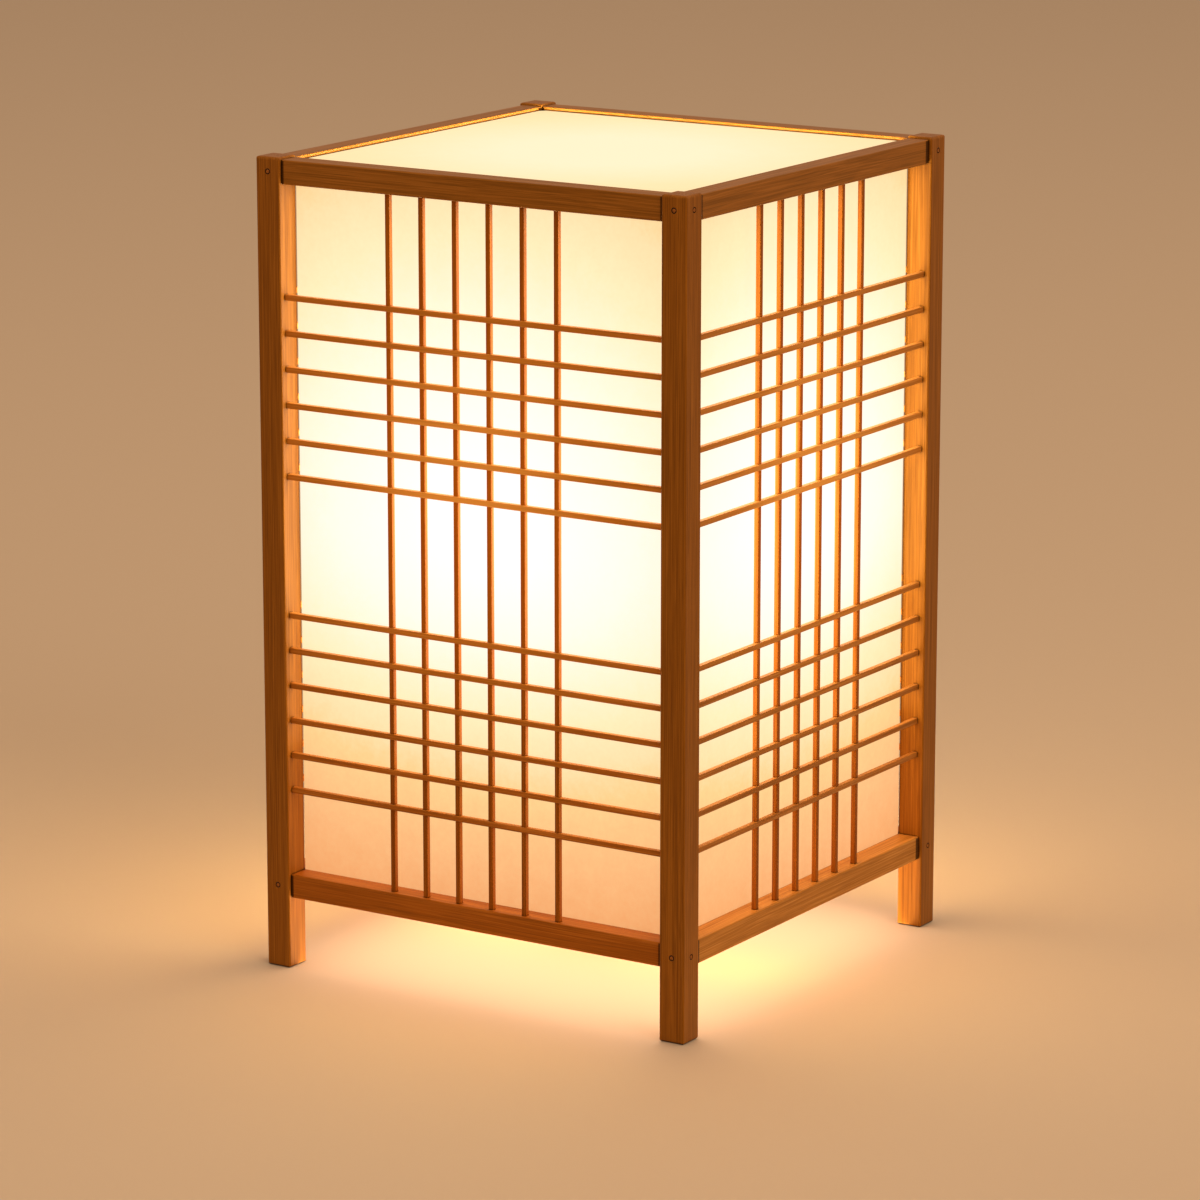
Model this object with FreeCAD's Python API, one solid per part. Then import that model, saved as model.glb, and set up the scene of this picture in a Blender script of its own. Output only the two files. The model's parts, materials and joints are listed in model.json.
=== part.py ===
"""Square bamboo lantern lamp: posts, rails, lattice, translucent sheets, lamp holder and bulb.

Millimetres, +Z up. The origin is on the floor, under the middle of the lamp.
Every face of the lamp is the front face (outward normal -Y) turned about Z in quarter turns.
Depths on a face are counted inwards from the outer faces of the posts.
"""
import FreeCAD, Part
import math
import os

# Overall
SIDE = 150.0                  # outside width of the lamp, post face to post face
HEIGHT = 250.0                # floor to the tops of the posts

# Posts
POST = 8.4                    # square section
POST_EDGE_ROUND = 0.45        # long edges
POST_END_ROUND = 0.9          # edges round the top and the foot

# Rails
RAIL_HEIGHT = 7.4
RAIL_SET_BACK = 1.0           # rail face behind the post faces
RAIL_EDGE_ROUND = 0.45        # long edges
RAIL_END_BEVEL = 0.35         # round each end, the dark line beside the post
TOP_RAIL_DROP = 0.7           # rail tops below the post tops
LEG_HEIGHT = 22.3             # floor to the underside of the bottom rails

# Pegged joints between rails and posts
TENON_SHOULDER = 0.6          # rail face to tenon cheek
TENON_THICKNESS = 2.2
TENON_END_SHOULDER = 1.3      # rail top or underside to tenon edge
MITRE_GAP = 0.1               # between the two tenons that meet in a post
PEG_DIAMETER = 1.7
PEG_TIP_GAP = 0.25            # between the two pegs that meet in a post
JOINT_CLEARANCE = 0.05        # each side of every pegged, housed or lapped joint

# Lattice
SLAT_COUNT = 6                # slats in each group
CROSS_HEIGHT = 1.75           # cross slats, post to post
CROSS_DEPTH = 1.7
CROSS_SET_BACK = 2.0          # face of the cross slats behind the post faces
CROSS_PITCH = 10.9
UPPER_GROUP_DROP = 61.3       # underside of the top rails to the middle of the upper group
LOWER_GROUP_RISE = 53.7       # tops of the bottom rails to the middle of the lower group
UPRIGHT_WIDTH = 1.6           # upright slats, rail to rail
UPRIGHT_DEPTH = 1.6
UPRIGHT_SET_BACK = 2.4        # face of the uprights behind the post faces
UPRIGHT_PITCH = 11.8
SLAT_EDGE_ROUND = 0.2
SLAT_HOUSING = 1.2            # how far slat ends are let into posts and rails

# Sheets
SIDE_SHEET = 0.5              # thickness
SIDE_SHEET_EDGE_GAP = 0.1     # beside each upright edge
TOP_SHEET = 1.0               # thickness
TOP_SHEET_RECESS = 1.1        # rail tops to the sheet's upper face
TOP_SHEET_GAP = 0.4           # between the sheet's edges and the rails
TOP_SHEET_CORNER_CUT = 1.6
SHEET_END_GAP = 0.3           # above and below the side sheets
CORNER_BLOCK_LEG = 7.0
CORNER_BLOCK_HEIGHT = 5.0

# Cross bar that carries the lamp holder
BAR_WIDTH = 22.0
BAR_THICKNESS = 4.0
BAR_HOUSING = 5.0             # how far the bar's ends are let into the bottom rails
BAR_SCREW_SHANK = 1.8
BAR_SCREW_HEAD = 3.4
BAR_SCREW_LENGTH = 6.2
BAR_SCREW_SPACING = 12.0      # across the bar, two screws at each end
SCREW_RECESS_LENGTH = 1.8     # cross recess in the screw heads
SCREW_RECESS_WIDTH = 0.5
SCREW_RECESS_DEPTH = 0.5

# Threaded nipple, nut, washer and cord-inlet bush
NIPPLE_DIAMETER = 10.0
NIPPLE_BORE = 7.4
NIPPLE_TAIL = 2.5             # nipple past the nut
NUT_ACROSS_FLATS = 14.0
NUT_THICKNESS = 3.0
NUT_CORNER_ANGLE = 30.0       # slope of the chamfer across the nut's corners
WASHER_DIAMETER = 18.0
WASHER_THICKNESS = 1.0
BUSH_BORE = 6.2
BUSH_FLANGE = 1.5
BUSH_LENGTH = 8.0
THREAD_CLEARANCE = 0.1        # radial, between parts that screw or slip into each other

# Lamp holder
HOLDER_DIAMETER = 40.0
HOLDER_WALL = 2.2
HOLDER_BASE_HEIGHT = 24.0
HOLDER_FLOOR = 3.0
HOLDER_BOSS_DIAMETER = 18.0
HOLDER_BOSS_HEIGHT = 8.0      # bar to the top of the boss that takes the nipple
HOLDER_SPIGOT_HEIGHT = 7.0
HOLDER_SPIGOT_WALL = 2.4
HOLDER_SHELL_HEIGHT = 34.0
HOLDER_MOUTH_DIAMETER = 31.0
HOLDER_EDGE_ROUND = 1.2
BLOCK_FLANGE = 2.5
BLOCK_DEPTH = 12.0            # terminal block below its flange
SCREW_SHELL_BORE = 27.0
SCREW_SHELL_WALL = 0.5
SCREW_SHELL_HEIGHT = 22.0
CONTACT_STRIP = 0.6           # centre contact, a bent brass strip
CONTACT_WIDTH = 6.0
CONTACT_RISE = 2.4            # block to the top of the strip
CONTACT_PAD = 5.0             # length of each flat of the strip
TERMINAL_SCREW_DIAMETER = 3.0
TERMINAL_SCREW_HEAD = 5.5
TERMINAL_SCREW_HEAD_HEIGHT = 2.0
TERMINAL_SCREW_LENGTH = 8.0
TERMINAL_SCREW_SPACING = 16.0

# Bulb, heights counted from its tip contact
BULB_LENGTH = 108.0
GLOBE_DIAMETER = 60.0
DIFFUSER_RIM = 62.0
DIFFUSER_WALL = 1.2
HOUSING_RIM_DIAMETER = 58.8
HOUSING_RIM_HEIGHT = 4.0      # upright band under the diffuser
HOUSING_WALL = 1.5
HOUSING_NECK_DIAMETER = 28.0
HOUSING_NECK_HEIGHT = 5.0     # nearly straight neck above the cap
HOUSING_SPIGOT_LENGTH = 11.0  # part of the neck inside the cap
CAP_DIAMETER = 26.2
CAP_WALL = 0.4
CAP_TOP = 25.5
CAP_START = 3.8
CAP_TAPER_HEIGHT = 2.2
CAP_MOUTH_DIAMETER = 23.4
TIP_DIAMETER = 9.2
TIP_THICKNESS = 0.8
TIP_RIVET_DIAMETER = 6.0
TIP_RIVET_LENGTH = 3.0
INSULATOR_FACE_DIAMETER = 15.0
INSULATOR_TOP = 4.8
LED_BOARD_THICKNESS = 1.5
LED_BOARD_SEAT = 2.4          # diffuser rim down to the board's seat
LED_LEDGE = 2.4               # width of that seat
LED_LENGTH = 3.5
LED_WIDTH = 2.8
LED_THICKNESS = 0.7
LED_RING_DIAMETER = 36.0
LED_COUNT = 12
DRIVER_BOARD_THICKNESS = 1.6
DRIVER_BOARD_START = 17.0
DRIVER_BOARD_HEIGHT = 34.0
DRIVER_BOARD_GAP = 0.2        # between the board's edges and the neck
CAPACITOR_DIAMETER = 8.0
CAPACITOR_LENGTH = 12.0
CAPACITOR_GAP = 0.05          # between the capacitor and the board
COIL_WIDTH = 10.0
COIL_DEPTH = 8.0
COIL_HEIGHT = 9.0
DRIVER_PARTS_START = 32.0

# Places that follow from the sizes above
HALF = SIDE / 2
INNER = HALF - POST                                   # middle to the inner faces of posts and rails
TOP_RAIL_TOP = HEIGHT - TOP_RAIL_DROP
TOP_RAIL_UNDERSIDE = TOP_RAIL_TOP - RAIL_HEIGHT
BOTTOM_RAIL_TOP = LEG_HEIGHT + RAIL_HEIGHT
RAIL_STARTS = {"top": TOP_RAIL_UNDERSIDE, "bottom": LEG_HEIGHT}
UPPER_GROUP_MIDDLE = TOP_RAIL_UNDERSIDE - UPPER_GROUP_DROP
LOWER_GROUP_MIDDLE = BOTTOM_RAIL_TOP + LOWER_GROUP_RISE
TENON_FRONT = RAIL_SET_BACK + TENON_SHOULDER
TENON_BACK = TENON_FRONT + TENON_THICKNESS
PEG_LENGTH = (POST - PEG_DIAMETER - PEG_TIP_GAP) / 2
LAP_DEPTH = (UPRIGHT_SET_BACK + CROSS_SET_BACK + CROSS_DEPTH) / 2
TOP_SHEET_UPPER = TOP_RAIL_TOP - TOP_SHEET_RECESS
TOP_SHEET_UNDERSIDE = TOP_SHEET_UPPER - TOP_SHEET
SIDE_SHEET_TOP = TOP_SHEET_UNDERSIDE - SHEET_END_GAP
BAR_TOP = LEG_HEIGHT + BAR_THICKNESS
SIDE_SHEET_BOTTOM = BAR_TOP + SHEET_END_GAP
BAR_SCREW_X = INNER + BAR_HOUSING / 2
HOLDER_SPIGOT_BASE = BAR_TOP + HOLDER_BASE_HEIGHT
BLOCK_SEAT = HOLDER_SPIGOT_BASE + HOLDER_SPIGOT_HEIGHT
BLOCK_TOP = BLOCK_SEAT + BLOCK_FLANGE
BULB_TIP = BLOCK_TOP + CONTACT_RISE

FACES = ("front", "right", "back", "left")
CORNERS = ("front_left", "front_right", "back_right", "back_left")
PARALLEL_TOLERANCE = 1e-6
UP = FreeCAD.Vector(0, 0, 1)
ORIGIN = FreeCAD.Vector(0, 0, 0)


def block(x0, x1, y0, y1, z0, z1):
    """A box between two corners."""
    return Part.makeBox(x1 - x0, y1 - y0, z1 - z0, FreeCAD.Vector(x0, y0, z0))


def rod(radius, length, start, direction=UP):
    """A plain cylinder."""
    return Part.makeCylinder(radius, length, FreeCAD.Vector(*start), direction)


def quarter_turned(shape, turns):
    """A copy of a shape on the front face, moved to another face."""
    turned = shape.copy()
    turned.rotate(ORIGIN, UP, 90.0 * turns)
    return turned


def edges_along(shape, axis):
    """The straight edges of a box that run along one axis."""
    found = []
    for edge in shape.Edges:
        run = edge.Vertexes[-1].Point - edge.Vertexes[0].Point
        if abs(abs(run.dot(axis)) - run.Length) < PARALLEL_TOLERANCE:
            found.append(edge)
    return found


def spun(points):
    """A solid turned about the lamp's axis from an outline of (radius, height) points.

    A point with a third value is the middle of an arc between its two neighbours.
    """
    places = [FreeCAD.Vector(p[0], 0, p[1]) for p in points]
    edges = []
    count = len(points)
    for i in range(count):
        follower = (i + 1) % count
        if len(points[i]) == 3:
            continue
        if len(points[follower]) == 3:
            last = places[(i + 2) % count]
            edges.append(Part.Arc(places[i], places[follower], last).toShape())
        else:
            edges.append(Part.LineSegment(places[i], places[follower]).toShape())
    outline = Part.Wire(edges)
    return Part.Face(outline).revolve(ORIGIN, UP, 360)


def save(name, *solids):
    """Write one node, a single solid or a group of alike solids."""
    shape = solids[0] if len(solids) == 1 else Part.makeCompound(list(solids))
    shape.exportStep("parts/" + name + ".step")


def spread(count, pitch):
    """Evenly spaced places about a middle."""
    return [(i - (count - 1) / 2) * pitch for i in range(count)]


UPRIGHT_PLACES = spread(SLAT_COUNT, UPRIGHT_PITCH)
CROSS_GROUPS = {
    "upper": [UPPER_GROUP_MIDDLE + z for z in spread(SLAT_COUNT, CROSS_PITCH)],
    "lower": [LOWER_GROUP_MIDDLE + z for z in spread(SLAT_COUNT, CROSS_PITCH)],
}


def peg_heights():
    """The middle of each rail, where its pegs are."""
    return [start + RAIL_HEIGHT / 2 for start in RAIL_STARTS.values()]


def end_sockets(clearance):
    """What the left ends of the front face's rails and cross slats take out of a post."""
    cuts = []
    for start in RAIL_STARTS.values():
        cuts.append(block(
            -HALF + TENON_FRONT - clearance, -INNER,
            -HALF + TENON_FRONT - clearance, -HALF + TENON_BACK + clearance,
            start + TENON_END_SHOULDER - clearance, start + RAIL_HEIGHT - TENON_END_SHOULDER + clearance))
    for heights in CROSS_GROUPS.values():
        for z in heights:
            cuts.append(block(
                -INNER - SLAT_HOUSING - clearance, -INNER,
                -HALF + CROSS_SET_BACK - clearance, -HALF + CROSS_SET_BACK + CROSS_DEPTH + clearance,
                z - CROSS_HEIGHT / 2 - clearance, z + CROSS_HEIGHT / 2 + clearance))
    return cuts


def mirrored_end(shape):
    """The same joint at the right end of the left face, on the same post: x and y change places."""
    return shape.mirror(ORIGIN, FreeCAD.Vector(1, -1, 0))


def post_blank():
    """The front left post before its joints: what three bars share, each rounded along one axis."""
    rounds = (
        (FreeCAD.Vector(1, 0, 0), POST_END_ROUND),
        (FreeCAD.Vector(0, 1, 0), POST_END_ROUND),
        (UP, POST_EDGE_ROUND),
    )
    bars = []
    for axis, radius in rounds:
        bar = block(-HALF, -INNER, -HALF, -INNER, 0, HEIGHT)
        bars.append(bar.makeFillet(radius, edges_along(bar, axis)))
    return bars[0].common(bars[1]).common(bars[2])


def peg_hole(height, radius, depth):
    """A hole from the front face of the front left post."""
    return rod(radius, depth, (-HALF + POST / 2, -HALF, height), FreeCAD.Vector(0, 1, 0))


def make_posts():
    hole_radius = PEG_DIAMETER / 2 + JOINT_CLEARANCE
    cuts = end_sockets(JOINT_CLEARANCE)
    cuts += [peg_hole(z, hole_radius, PEG_LENGTH + JOINT_CLEARANCE) for z in peg_heights()]
    cuts += [mirrored_end(cut) for cut in cuts]
    post = post_blank().cut(cuts)
    for turns, corner in enumerate(CORNERS):
        save("post_" + corner, quarter_turned(post, turns))


def make_pegs():
    for level, z in zip(RAIL_STARTS, peg_heights()):
        peg = peg_hole(z, PEG_DIAMETER / 2, PEG_LENGTH)
        pair = [peg, mirrored_end(peg)]
        save("pegs_" + level, *[quarter_turned(p, turns) for turns in range(len(CORNERS)) for p in pair])


def tenon(start):
    """The left tenon of a front rail, its tip cut at 45 degrees to meet the neighbour's tip."""
    shape = block(
        -HALF + TENON_FRONT + MITRE_GAP, -INNER + RAIL_END_BEVEL,
        -HALF + TENON_FRONT, -HALF + TENON_BACK,
        start + TENON_END_SHOULDER, start + RAIL_HEIGHT - TENON_END_SHOULDER)
    corner = -HALF + TENON_FRONT
    reach = TENON_THICKNESS
    wedge = Part.makePolygon([
        FreeCAD.Vector(corner + MITRE_GAP, corner, start),
        FreeCAD.Vector(corner + MITRE_GAP + reach, corner + reach, start),
        FreeCAD.Vector(corner + MITRE_GAP - reach, corner + reach, start),
        FreeCAD.Vector(corner + MITRE_GAP - reach, corner, start),
        FreeCAD.Vector(corner + MITRE_GAP, corner, start)])
    shape = shape.cut(Part.Face(wedge).extrude(UP * RAIL_HEIGHT))
    hole_depth = PEG_LENGTH + JOINT_CLEARANCE
    return shape.cut(peg_hole(start + RAIL_HEIGHT / 2, PEG_DIAMETER / 2 + JOINT_CLEARANCE, hole_depth))


def bevelled_rail(start):
    """A front rail between its posts: rounded long edges, bevelled ends."""
    bar = block(-INNER, INNER, -HALF + RAIL_SET_BACK, -INNER, start, start + RAIL_HEIGHT)
    bar = bar.makeFillet(RAIL_EDGE_ROUND, edges_along(bar, FreeCAD.Vector(1, 0, 0)))
    ends = [e for e in bar.Edges if abs(e.Vertexes[0].X - e.Vertexes[-1].X) < PARALLEL_TOLERANCE]
    return bar.makeChamfer(RAIL_END_BEVEL, ends)


def upright_sockets(z0, z1):
    """Where the ends of the uprights go into a front rail."""
    front = -HALF + UPRIGHT_SET_BACK - JOINT_CLEARANCE
    back = -HALF + UPRIGHT_SET_BACK + UPRIGHT_DEPTH + JOINT_CLEARANCE
    half = UPRIGHT_WIDTH / 2 + JOINT_CLEARANCE
    return [block(x - half, x + half, front, back, z0, z1) for x in UPRIGHT_PLACES]


def bar_housing():
    """What the cross bar's right end, with its screws, takes out of the right bottom rail."""
    half = BAR_WIDTH / 2 + JOINT_CLEARANCE
    cuts = [block(INNER, INNER + BAR_HOUSING, -half, half, LEG_HEIGHT, BAR_TOP)]
    hole = BAR_SCREW_SHANK / 2 + JOINT_CLEARANCE
    for y in spread(2, BAR_SCREW_SPACING):
        cuts.append(rod(hole, BAR_SCREW_LENGTH + JOINT_CLEARANCE, (BAR_SCREW_X, y, LEG_HEIGHT)))
    return cuts


def make_rails():
    depth = SLAT_HOUSING + JOINT_CLEARANCE
    sockets = {
        "top": upright_sockets(TOP_RAIL_UNDERSIDE, TOP_RAIL_UNDERSIDE + depth),
        "bottom": upright_sockets(BOTTOM_RAIL_TOP - depth, BOTTOM_RAIL_TOP),
    }
    for level, start in RAIL_STARTS.items():
        left = tenon(start)
        right = left.mirror(ORIGIN, FreeCAD.Vector(1, 0, 0))
        rail = bevelled_rail(start).fuse([left, right]).removeSplitter().cut(sockets[level])
        for turns, face in enumerate(FACES):
            placed = quarter_turned(rail, turns)
            if level == "bottom" and face in ("right", "left"):
                placed = placed.cut([quarter_turned(cut, turns - 1) for cut in bar_housing()])
            save("rail_" + level + "_" + face, placed)


def rounded_slat(x0, x1, y0, y1, z0, z1, axis):
    slat = block(x0, x1, y0, y1, z0, z1)
    return slat.makeFillet(SLAT_EDGE_ROUND, edges_along(slat, axis))


def make_lattice():
    """Cross slats lie in front, halved at each crossing over the uprights behind them."""
    lap = -HALF + LAP_DEPTH
    cross_front = -HALF + CROSS_SET_BACK
    cross_back = cross_front + CROSS_DEPTH
    upright_front = -HALF + UPRIGHT_SET_BACK
    upright_back = upright_front + UPRIGHT_DEPTH
    half_width = UPRIGHT_WIDTH / 2
    half_height = CROSS_HEIGHT / 2
    reach = INNER + SLAT_HOUSING
    all_heights = [z for heights in CROSS_GROUPS.values() for z in heights]

    notches = [block(
        x - half_width - JOINT_CLEARANCE, x + half_width + JOINT_CLEARANCE,
        lap, cross_back, -half_height, half_height) for x in UPRIGHT_PLACES]
    along = FreeCAD.Vector(1, 0, 0)
    cross = rounded_slat(-reach, reach, cross_front, cross_back, -half_height, half_height, along)
    cross = cross.cut(notches)

    laps = [block(
        -half_width, half_width, upright_front, lap,
        z - half_height - JOINT_CLEARANCE, z + half_height + JOINT_CLEARANCE) for z in all_heights]
    upright = rounded_slat(
        -half_width, half_width, upright_front, upright_back,
        BOTTOM_RAIL_TOP - SLAT_HOUSING, TOP_RAIL_UNDERSIDE + SLAT_HOUSING, UP)
    upright = upright.cut(laps)

    for turns, face in enumerate(FACES):
        for group, heights in CROSS_GROUPS.items():
            slats = [cross.translated(FreeCAD.Vector(0, 0, z)) for z in heights]
            save("cross_slats_" + group + "_" + face, *[quarter_turned(s, turns) for s in slats])
        uprights = [upright.translated(FreeCAD.Vector(x, 0, 0)) for x in UPRIGHT_PLACES]
        save("upright_slats_" + face, *[quarter_turned(u, turns) for u in uprights])


def make_sheets():
    """Side sheets against the backs of the rails, and the loose top sheet on its corner blocks."""
    for turns, face in enumerate(FACES):
        half = INNER - SIDE_SHEET_EDGE_GAP
        if face in ("right", "left"):
            half -= SIDE_SHEET
        sheet = block(-half, half, -INNER, -INNER + SIDE_SHEET, SIDE_SHEET_BOTTOM, SIDE_SHEET_TOP)
        save("side_sheet_" + face, quarter_turned(sheet, turns))

    half = INNER - TOP_SHEET_GAP
    top = block(-half, half, -half, half, TOP_SHEET_UNDERSIDE, TOP_SHEET_UPPER)
    save("top_sheet", top.makeChamfer(TOP_SHEET_CORNER_CUT, edges_along(top, UP)))

    corner = -INNER + SIDE_SHEET
    base = TOP_SHEET_UNDERSIDE - CORNER_BLOCK_HEIGHT
    outline = Part.makePolygon([
        FreeCAD.Vector(corner, corner, base),
        FreeCAD.Vector(corner + CORNER_BLOCK_LEG, corner, base),
        FreeCAD.Vector(corner, corner + CORNER_BLOCK_LEG, base),
        FreeCAD.Vector(corner, corner, base)])
    glue_block = Part.Face(outline).extrude(UP * CORNER_BLOCK_HEIGHT)
    save("corner_blocks", *[quarter_turned(glue_block, turns) for turns in range(len(CORNERS))])


def bar_screw(x, y, clearance):
    """A countersunk screw driven up into the rail. With a clearance it is the hole for one."""
    shank = BAR_SCREW_SHANK / 2 + clearance
    head = BAR_SCREW_HEAD / 2 + clearance
    screw = spun([
        (0, 0), (head, 0), (shank, head - shank), (shank, BAR_SCREW_LENGTH), (0, BAR_SCREW_LENGTH)])
    return screw.translated(FreeCAD.Vector(x, y, LEG_HEIGHT))


def cross_recess(x, y):
    """The two crossing slots in a screw's head."""
    long, short = SCREW_RECESS_LENGTH / 2, SCREW_RECESS_WIDTH / 2
    top = LEG_HEIGHT + SCREW_RECESS_DEPTH
    return [
        block(x - long, x + long, y - short, y + short, LEG_HEIGHT, top),
        block(x - short, x + short, y - long, y + long, LEG_HEIGHT, top)]


def make_cross_bar():
    reach = INNER + BAR_HOUSING - JOINT_CLEARANCE
    bar = block(-reach, reach, -BAR_WIDTH / 2, BAR_WIDTH / 2, LEG_HEIGHT, BAR_TOP)
    bar = bar.cut(rod(NIPPLE_DIAMETER / 2 + THREAD_CLEARANCE, BAR_THICKNESS, (0, 0, LEG_HEIGHT)))
    places = [(x, y) for x in (-BAR_SCREW_X, BAR_SCREW_X) for y in spread(2, BAR_SCREW_SPACING)]
    bar = bar.cut([bar_screw(x, y, JOINT_CLEARANCE) for x, y in places])
    save("cross_bar", bar)
    save("cross_bar_screws", *[bar_screw(x, y, 0).cut(cross_recess(x, y)) for x, y in places])


def ring(outer, inner, z0, z1):
    """A plain ring about the lamp's axis, by its radii."""
    return spun([(inner, z0), (outer, z0), (outer, z1), (inner, z1)])


def make_nipple():
    nipple = NIPPLE_DIAMETER / 2
    washer_base = LEG_HEIGHT - WASHER_THICKNESS
    nut_base = washer_base - NUT_THICKNESS
    nipple_base = nut_base - NIPPLE_TAIL
    save("nipple", ring(nipple, NIPPLE_BORE / 2, nipple_base, BAR_TOP + HOLDER_BOSS_HEIGHT))
    hole = nipple + THREAD_CLEARANCE
    save("nipple_washer", ring(WASHER_DIAMETER / 2, hole, washer_base, LEG_HEIGHT))

    flat = NUT_ACROSS_FLATS / 2
    corner = flat / math.cos(math.pi / 6)
    points = []
    for i in range(7):
        angle = math.radians(60 * i)
        points.append(FreeCAD.Vector(corner * math.cos(angle), corner * math.sin(angle), nut_base))
    nut = Part.Face(Part.makePolygon(points)).extrude(UP * NUT_THICKNESS)
    rise = (corner - flat) * math.tan(math.radians(NUT_CORNER_ANGLE))
    nut = nut.common(spun([
        (hole, nut_base), (flat, nut_base), (corner, nut_base + rise), (corner, washer_base - rise),
        (flat, washer_base), (hole, washer_base)]))
    save("lock_nut", nut)

    sleeve = NIPPLE_BORE / 2 - THREAD_CLEARANCE
    flange_base = nipple_base - BUSH_FLANGE
    save("cord_inlet_bush", spun([
        (BUSH_BORE / 2, flange_base), (nipple, flange_base), (nipple, nipple_base), (sleeve, nipple_base),
        (sleeve, flange_base + BUSH_LENGTH), (BUSH_BORE / 2, flange_base + BUSH_LENGTH)]))


def make_holder():
    outer = HOLDER_DIAMETER / 2
    inner = outer - HOLDER_WALL
    spigot = inner - THREAD_CLEARANCE
    spigot_bore = spigot - HOLDER_SPIGOT_WALL
    nipple_hole = NIPPLE_DIAMETER / 2 + THREAD_CLEARANCE
    boss = HOLDER_BOSS_DIAMETER / 2
    floor_top = BAR_TOP + HOLDER_FLOOR
    boss_top = BAR_TOP + HOLDER_BOSS_HEIGHT
    base = spun([
        (nipple_hole, BAR_TOP), (outer - HOLDER_EDGE_ROUND, BAR_TOP), (outer, BAR_TOP + HOLDER_EDGE_ROUND),
        (outer, HOLDER_SPIGOT_BASE), (spigot, HOLDER_SPIGOT_BASE), (spigot, BLOCK_SEAT),
        (spigot_bore, BLOCK_SEAT), (spigot_bore, floor_top), (boss, floor_top), (boss, boss_top),
        (nipple_hole, boss_top)])
    save("holder_base", base)

    mouth = HOLDER_MOUTH_DIAMETER / 2
    rim = HOLDER_SPIGOT_BASE + HOLDER_SHELL_HEIGHT
    shell = spun([
        (inner, HOLDER_SPIGOT_BASE), (outer, HOLDER_SPIGOT_BASE), (outer, rim - HOLDER_EDGE_ROUND),
        (outer - HOLDER_EDGE_ROUND, rim), (mouth, rim), (mouth, BLOCK_TOP), (inner, BLOCK_TOP)])
    save("holder_shell", shell)

    flange = spigot
    body = spigot_bore - THREAD_CLEARANCE
    block_base = BLOCK_SEAT - BLOCK_DEPTH
    terminal_block = spun([
        (0, block_base), (body, block_base), (body, BLOCK_SEAT), (flange, BLOCK_SEAT), (flange, BLOCK_TOP),
        (0, BLOCK_TOP)])
    places = spread(2, TERMINAL_SCREW_SPACING)
    hole = TERMINAL_SCREW_DIAMETER / 2 + JOINT_CLEARANCE
    depth = TERMINAL_SCREW_LENGTH + JOINT_CLEARANCE
    terminal_block = terminal_block.cut([rod(hole, depth, (0, y, block_base)) for y in places])
    save("terminal_block", terminal_block)

    shank = rod(TERMINAL_SCREW_DIAMETER / 2, TERMINAL_SCREW_LENGTH, (0, 0, block_base))
    head_base = block_base - TERMINAL_SCREW_HEAD_HEIGHT
    head = rod(TERMINAL_SCREW_HEAD / 2, TERMINAL_SCREW_HEAD_HEIGHT, (0, 0, head_base))
    screw = shank.fuse(head).removeSplitter()
    save("terminal_screws", *[screw.translated(FreeCAD.Vector(0, y, 0)) for y in places])

    bore = SCREW_SHELL_BORE / 2
    save("screw_shell", ring(bore + SCREW_SHELL_WALL, bore, BLOCK_TOP, BLOCK_TOP + SCREW_SHELL_HEIGHT))

    foot_end = -CONTACT_PAD / 2 - CONTACT_RISE
    top = BULB_TIP
    outline = [
        (foot_end - CONTACT_PAD, BLOCK_TOP), (foot_end, BLOCK_TOP),
        (-CONTACT_PAD / 2, top - CONTACT_STRIP), (CONTACT_PAD / 2, top - CONTACT_STRIP),
        (CONTACT_PAD / 2, top), (-CONTACT_PAD / 2 - CONTACT_STRIP / 2, top),
        (foot_end - CONTACT_STRIP / 2, BLOCK_TOP + CONTACT_STRIP),
        (foot_end - CONTACT_PAD, BLOCK_TOP + CONTACT_STRIP)]
    points = [FreeCAD.Vector(x, -CONTACT_WIDTH / 2, z) for x, z in outline]
    strip = Part.Face(Part.makePolygon(points + points[:1]))
    save("centre_contact", strip.extrude(FreeCAD.Vector(0, CONTACT_WIDTH, 0)))


def raised(shape):
    """Move a bulb piece from its own heights to its place in the holder."""
    return shape.translated(FreeCAD.Vector(0, 0, BULB_TIP))


def make_bulb_base():
    """Tip contact, insulator and screw cap. The cap's thread is a plain sleeve of its outside size."""
    tip = TIP_DIAMETER / 2
    rivet = TIP_RIVET_DIAMETER / 2
    rivet_top = TIP_THICKNESS + TIP_RIVET_LENGTH
    save("bulb_tip_contact", raised(spun([
        (0, 0), (tip, 0), (tip, TIP_THICKNESS), (rivet, TIP_THICKNESS), (rivet, rivet_top),
        (0, rivet_top)])))

    mouth = CAP_MOUTH_DIAMETER / 2
    insulator = mouth - JOINT_CLEARANCE
    hole = rivet + JOINT_CLEARANCE
    save("bulb_insulator", raised(spun([
        (hole, TIP_THICKNESS), (INSULATOR_FACE_DIAMETER / 2, TIP_THICKNESS), (insulator, CAP_START),
        (insulator, INSULATOR_TOP), (hole, INSULATOR_TOP)])))

    cap = CAP_DIAMETER / 2
    taper_top = CAP_START + CAP_TAPER_HEIGHT
    save("bulb_cap", raised(spun([
        (mouth, CAP_START), (mouth + CAP_WALL, CAP_START), (cap, taper_top), (cap, CAP_TOP),
        (cap - CAP_WALL, CAP_TOP), (cap - CAP_WALL, taper_top), (mouth, INSULATOR_TOP)])))


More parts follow.
